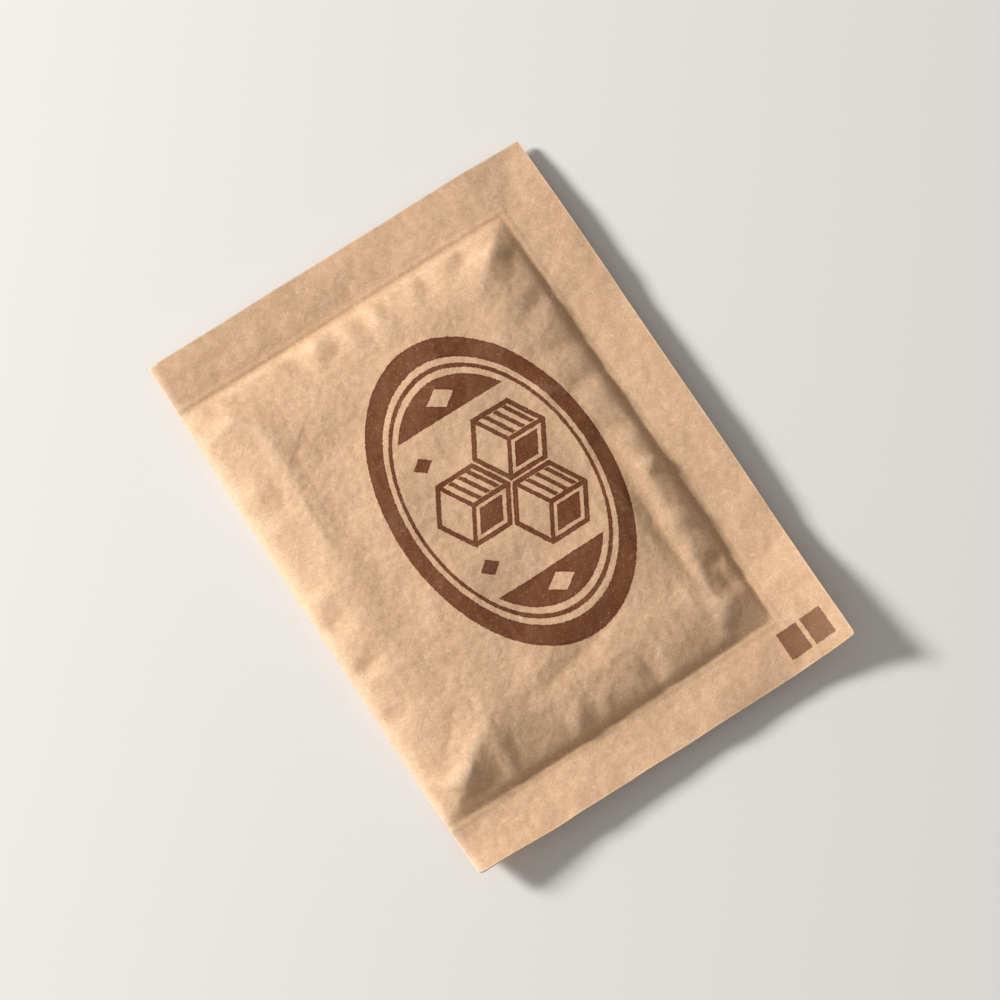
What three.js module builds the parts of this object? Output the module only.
// A single-serve packet of coarse cane sugar, lying on its back with its printed front up.
// One web of kraft paper is folded along the packet's back edge (+Y), then heat-sealed along the front
// edge (-Y) and both ends (-X, +X). The sugar inside rounds the front into a low pillow, and presses the
// back flat on whatever it lies on. The sealed margins are two bare plies of paper that stand a little
// above that surface and never lie quite flat.
//
// Millimetres, +Z up. The origin is on the resting surface, under the middle of the packet. +X runs
// along the packet's length and +Y across it, towards the fold.

import * as THREE from "three";
import { mergeVertices } from "three/addons/utils/BufferGeometryUtils.js";

// Driving dimensions
const LENGTH = 66;
const WIDTH = 47.5;
const SEAL_MARGIN = 6.4;
const PLY = 0.11;
const MARGIN_HEIGHT = 1.5; // the plane where the two plies meet, above the resting surface
const FRONT_CROWN = 3.15; // how far the front swells above that plane
const BACK_CROWN = 2.5; // how far the back would swell below it, if nothing were in its way

// How the pillow rises from its edges: the crown stays broad, and its shoulders fall away late.
const EDGE_POWER = 3.4;
const SHOULDER_POWER = 0.62;

// Paper can't stretch, so the pillow's edges buckle into short folds that lean off the edge they start from.
const PUCKER = {
  gap: [3.2, 8.5],
  reach: [3.5, 9],
  lean: 0.5, // the most that one turns either way, in radians
  height: [0.12, 0.38],
  breadth: [1.6, 2.6],
  dipShare: 1 / 3, // how many of them dip instead of rising
};
const PUCKER_SEED = 11;

// A fold runs from each of the pouch's corners towards its middle.
const CORNER_FOLDS = [
  { x: -1, y: 1, run: [10.5, -14], height: 0.62, breadth: 3.4 },
  { x: -1, y: -1, run: [9.5, 8.5], height: 0.5, breadth: 3 },
  { x: 1, y: 1, run: [-11.5, -11], height: 0.55, breadth: 3.6 },
  { x: 1, y: -1, run: [-8.5, 9], height: 0.55, breadth: 3 },
];

// Long soft folds where the front has been bent, and hollows where sugar has slipped from under it
const LONG_FOLDS = [
  { start: [-21, -12.2], run: [37, -1.4], height: -0.36, breadth: 2.6 },
  { start: [-20, 8], run: [4, -19], height: -0.3, breadth: 3.4 },
  { start: [19, 17.5], run: [-30, 1.6], height: 0.28, breadth: 3 },
  { start: [4, -15], run: [10, 13], height: 0.26, breadth: 2.8 },
];
const HOLLOWS = [
  { centre: [9, -8], radii: [11, 5], turn: 0.15, depth: 0.42 },
  { centre: [-12.5, 3.5], radii: [8.5, 6.5], turn: -0.5, depth: 0.34 },
  { centre: [15, 9], radii: [7, 8], turn: 0.3, depth: 0.3 },
  { centre: [-3, 15], radii: [10, 4], turn: 0.1, depth: 0.26 },
];
const FOLD_PEAK = 0.35; // where along its run a fold is highest
const FOLD_TAPER = 0.8; // below 1, a fold stays high near its peak and drops late
const FOLD_SPREAD = [0.45, 1.35]; // a fold's breadth at its start and at its end, as shares of its own
const MARK_FADE = 3; // folds and hollows have their full depth from a third of the crown up

// Each corner of the sealed outline curls its own way.
const CORNER_CURL = [
  { x: -1, y: -1, lift: 0.95 },
  { x: 1, y: -1, lift: -0.5 },
  { x: -1, y: 1, lift: 0.4 },
  { x: 1, y: 1, lift: 0.75 },
];
const CURL_REACH = 16;
const MARGIN_WAVE = 0.28;
const MARGIN_WAVE_LENGTH = 27;
const MARGIN_WAVE_SLANT = -0.6;
const FRONT_SEAL_RISE = 0.45; // how far the front seal tips up by its cut edge

// The sugar has slipped a little towards the front seal and the left end, and lies in soft heaps.
const HEAP_HEIGHT = 0.3;
const HEAP_SLIP_X = -0.12;
const HEAP_SLIP_Y = -0.15;
const HEAP_RIPPLE = 0.18;
const HEAP_RIPPLE_X = { turns: 4.1, phase: 1.2 };
const HEAP_RIPPLE_Y = { turns: 3.3, phase: -0.6 };

// The filled pillow draws its folded edge inwards.
const FOLD_BOW = 0.35;

// The grid that both faces of the packet are drawn on
const MARGIN_CELLS = 4;
const POUCH_COLUMNS = 46;
const POUCH_ROWS = 36;
const CROWDING = 0.4; // how much closer the grid lines stand at the pillow's edges than in its middle

const POUCH = {
  left: -LENGTH / 2 + SEAL_MARGIN,
  right: LENGTH / 2 - SEAL_MARGIN,
  front: -WIDTH / 2 + SEAL_MARGIN,
  fold: WIDTH / 2,
};

// Evenly spaced grid lines from low to high, the last one left out.
function evenLines(low, high, cells) {
  return Array.from({ length: cells }, (_, k) => low + ((high - low) * k) / cells);
}

// Grid lines from low to high that crowd together at both ends, the last one left out.
function crowdedLines(low, high, cells) {
  return evenLines(0, 1, cells).map(
    (t) => low + (high - low) * (t - (CROWDING * Math.sin(2 * Math.PI * t)) / (2 * Math.PI)),
  );
}

const columnLines = [
  ...evenLines(-LENGTH / 2, POUCH.left, MARGIN_CELLS),
  ...crowdedLines(POUCH.left, POUCH.right, POUCH_COLUMNS),
  ...evenLines(POUCH.right, LENGTH / 2, MARGIN_CELLS),
  LENGTH / 2,
];
const rowLines = [
  ...evenLines(-WIDTH / 2, POUCH.front, MARGIN_CELLS),
  ...crowdedLines(POUCH.front, POUCH.fold, POUCH_ROWS),
  POUCH.fold,
];

// -1 at the pouch's low edge, 1 at its high edge, and held there beyond them.
function across(value, low, high) {
  return THREE.MathUtils.clamp((2 * (value - low)) / (high - low) - 1, -1, 1);
}

// The share of the full crown at a point: 0 on the seals and the fold, 1 in the middle.
function pillow(x, y) {
  const s = Math.abs(across(x, POUCH.left, POUCH.right));
  const t = Math.abs(across(y, POUCH.front, POUCH.fold));
  return ((1 - s ** EDGE_POWER) * (1 - t ** EDGE_POWER)) ** SHOULDER_POWER;
}

// The sugar's own unevenness, as a share of the crown
function heaps(x, y) {
  const s = across(x, POUCH.left, POUCH.right);
  const t = across(y, POUCH.front, POUCH.fold);
  const slip = HEAP_SLIP_X * s + HEAP_SLIP_Y * t;
  const rippleX = Math.sin(HEAP_RIPPLE_X.turns * s + HEAP_RIPPLE_X.phase);
  const rippleY = Math.cos(HEAP_RIPPLE_Y.turns * t + HEAP_RIPPLE_Y.phase);
  return 1 + HEAP_HEIGHT * (slip + HEAP_RIPPLE * rippleX * rippleY);
}

// Even random numbers from 0 to 1, the same ones each time (a linear congruential generator)
function randomNumbers(seed) {
  let state = seed;
  return () => {
    state = (Math.imul(state, 1664525) + 1013904223) >>> 0;
    return state / 2 ** 32;
  };
}

// Puckers at uneven steps along each edge of the pouch, pointing inwards.
function plannedPuckers() {
  const draw = randomNumbers(PUCKER_SEED);
  const between = ([low, high]) => low + (high - low) * draw();
  const edges = [
    { from: [POUCH.left, POUCH.front], to: [POUCH.right, POUCH.front], inward: Math.PI / 2 },
    { from: [POUCH.left, POUCH.fold], to: [POUCH.right, POUCH.fold], inward: -Math.PI / 2 },
    { from: [POUCH.left, POUCH.front], to: [POUCH.left, POUCH.fold], inward: 0 },
    { from: [POUCH.right, POUCH.front], to: [POUCH.right, POUCH.fold], inward: Math.PI },
  ];
  const puckers = [];
  for (const { from, to, inward } of edges) {
    const length = Math.hypot(to[0] - from[0], to[1] - from[1]);
    const clear = PUCKER.gap[0];
    for (let place = clear + between(PUCKER.gap) / 2; place < length - clear; place += between(PUCKER.gap)) {
      const start = [0, 1].map((axis) => from[axis] + ((to[axis] - from[axis]) * place) / length);
      const heading = inward + PUCKER.lean * (2 * draw() - 1);
      const reach = between(PUCKER.reach);
      const sign = draw() < PUCKER.dipShare ? -1 : 1;
      const run = [reach * Math.cos(heading), reach * Math.sin(heading)];
      puckers.push({ start, run, height: sign * between(PUCKER.height), breadth: between(PUCKER.breadth) });
    }
  }
  return puckers;
}

const folds = [
  ...CORNER_FOLDS.map(({ x, y, ...fold }) => ({
    ...fold,
    start: [x < 0 ? POUCH.left : POUCH.right, y < 0 ? POUCH.front : POUCH.fold],
  })),
  ...LONG_FOLDS,
  ...plannedPuckers(),
];

// A sharp line with a flat facet falling away on each side. It is highest a third of the way along.
function foldLift({ start, run, height, breadth }, x, y) {
  const length = Math.hypot(...run);
  const dx = x - start[0];
  const dy = y - start[1];
  const share = (dx * run[0] + dy * run[1]) / length ** 2;
  const off = Math.abs(dx * run[1] - dy * run[0]) / length;
  const taper = Math.max(0, 1 - 2 * Math.abs(share - FOLD_PEAK)) ** FOLD_TAPER;
  const spread = breadth * THREE.MathUtils.lerp(...FOLD_SPREAD, THREE.MathUtils.clamp(share, 0, 1));
  return height * taper * Math.max(0, 1 - off / spread);
}

function hollowLift({ centre, radii, turn, depth }, x, y) {
  const dx = x - centre[0];
  const dy = y - centre[1];
  const along = (dx * Math.cos(turn) + dy * Math.sin(turn)) / radii[0];
  const side = (dy * Math.cos(turn) - dx * Math.sin(turn)) / radii[1];
  return -depth * Math.exp(-(along ** 2) - side ** 2);
}

// How far the folds and hollows together move the front. They fade out at the seals and the fold.
function marks(x, y) {
  const folded = folds.reduce((sum, fold) => sum + foldLift(fold, x, y), 0);
  const hollowed = HOLLOWS.reduce((sum, hollow) => sum + hollowLift(hollow, x, y), 0);
  return (folded + hollowed) * Math.min(1, MARK_FADE * pillow(x, y));
}

// How far the plane of the sealed margins has left its mean height
function curl(x, y) {
  const corners = CORNER_CURL.reduce((sum, corner) => {
    const away = Math.hypot(x - (corner.x * LENGTH) / 2, y - (corner.y * WIDTH) / 2);
    return sum + corner.lift * Math.max(0, 1 - away / CURL_REACH) ** 2;
  }, 0);
  const wave = MARGIN_WAVE * Math.sin((2 * Math.PI * (x + MARGIN_WAVE_SLANT * y)) / MARGIN_WAVE_LENGTH);
  const beyondSeal = THREE.MathUtils.clamp((POUCH.front - y) / SEAL_MARGIN, 0, 1);
  return corners + wave * (1 - pillow(x, y)) + FRONT_SEAL_RISE * beyondSeal;
}

// How far the folded edge is drawn in at a point
function bow(x, y) {
  const s = across(x, POUCH.left, POUCH.right);
  const t = across(y, POUCH.front, POUCH.fold);
  return FOLD_BOW * (1 - s * s) * Math.max(0, t) ** 2;
}

function frontHeight(x, y) {
  const middle = MARGIN_HEIGHT + curl(x, y);
  return middle + PLY + FRONT_CROWN * pillow(x, y) * heaps(x, y) + marks(x, y);
}

// The back lies flat wherever the sugar presses it on the resting surface.
function backHeight(x, y) {
  const middle = MARGIN_HEIGHT + curl(x, y);
  return Math.max(0, middle - PLY - BACK_CROWN * pillow(x, y));
}

// A box of grid cells, one deep, with each vertex moved to its place on the packet's front or back
function packetGeometry() {
  const columns = columnLines.length - 1;
  const rows = rowLines.length - 1;
  const geometry = new THREE.BoxGeometry(columns, rows, 1, columns, rows, 1);
  const place = geometry.getAttribute("position");
  for (let k = 0; k < place.count; k += 1) {
    const x = columnLines[Math.round(place.getX(k) + columns / 2)];
    const y = rowLines[Math.round(place.getY(k) + rows / 2)];
    const height = place.getZ(k) > 0 ? frontHeight(x, y) : backHeight(x, y);
    place.setXYZ(k, x, y - bow(x, y), height);
  }
  geometry.deleteAttribute("normal");
  geometry.deleteAttribute("uv");
  const closed = mergeVertices(geometry);
  closed.computeVertexNormals();
  return closed;
}

function kraftPaper() {
  return new THREE.MeshStandardMaterial({ color: 0xcea785, roughness: 0.85, metalness: 0 });
}

const packet = new THREE.Mesh(packetGeometry(), kraftPaper());
packet.name = "packet";

const part = new THREE.Group();
part.add(packet);

export default part;
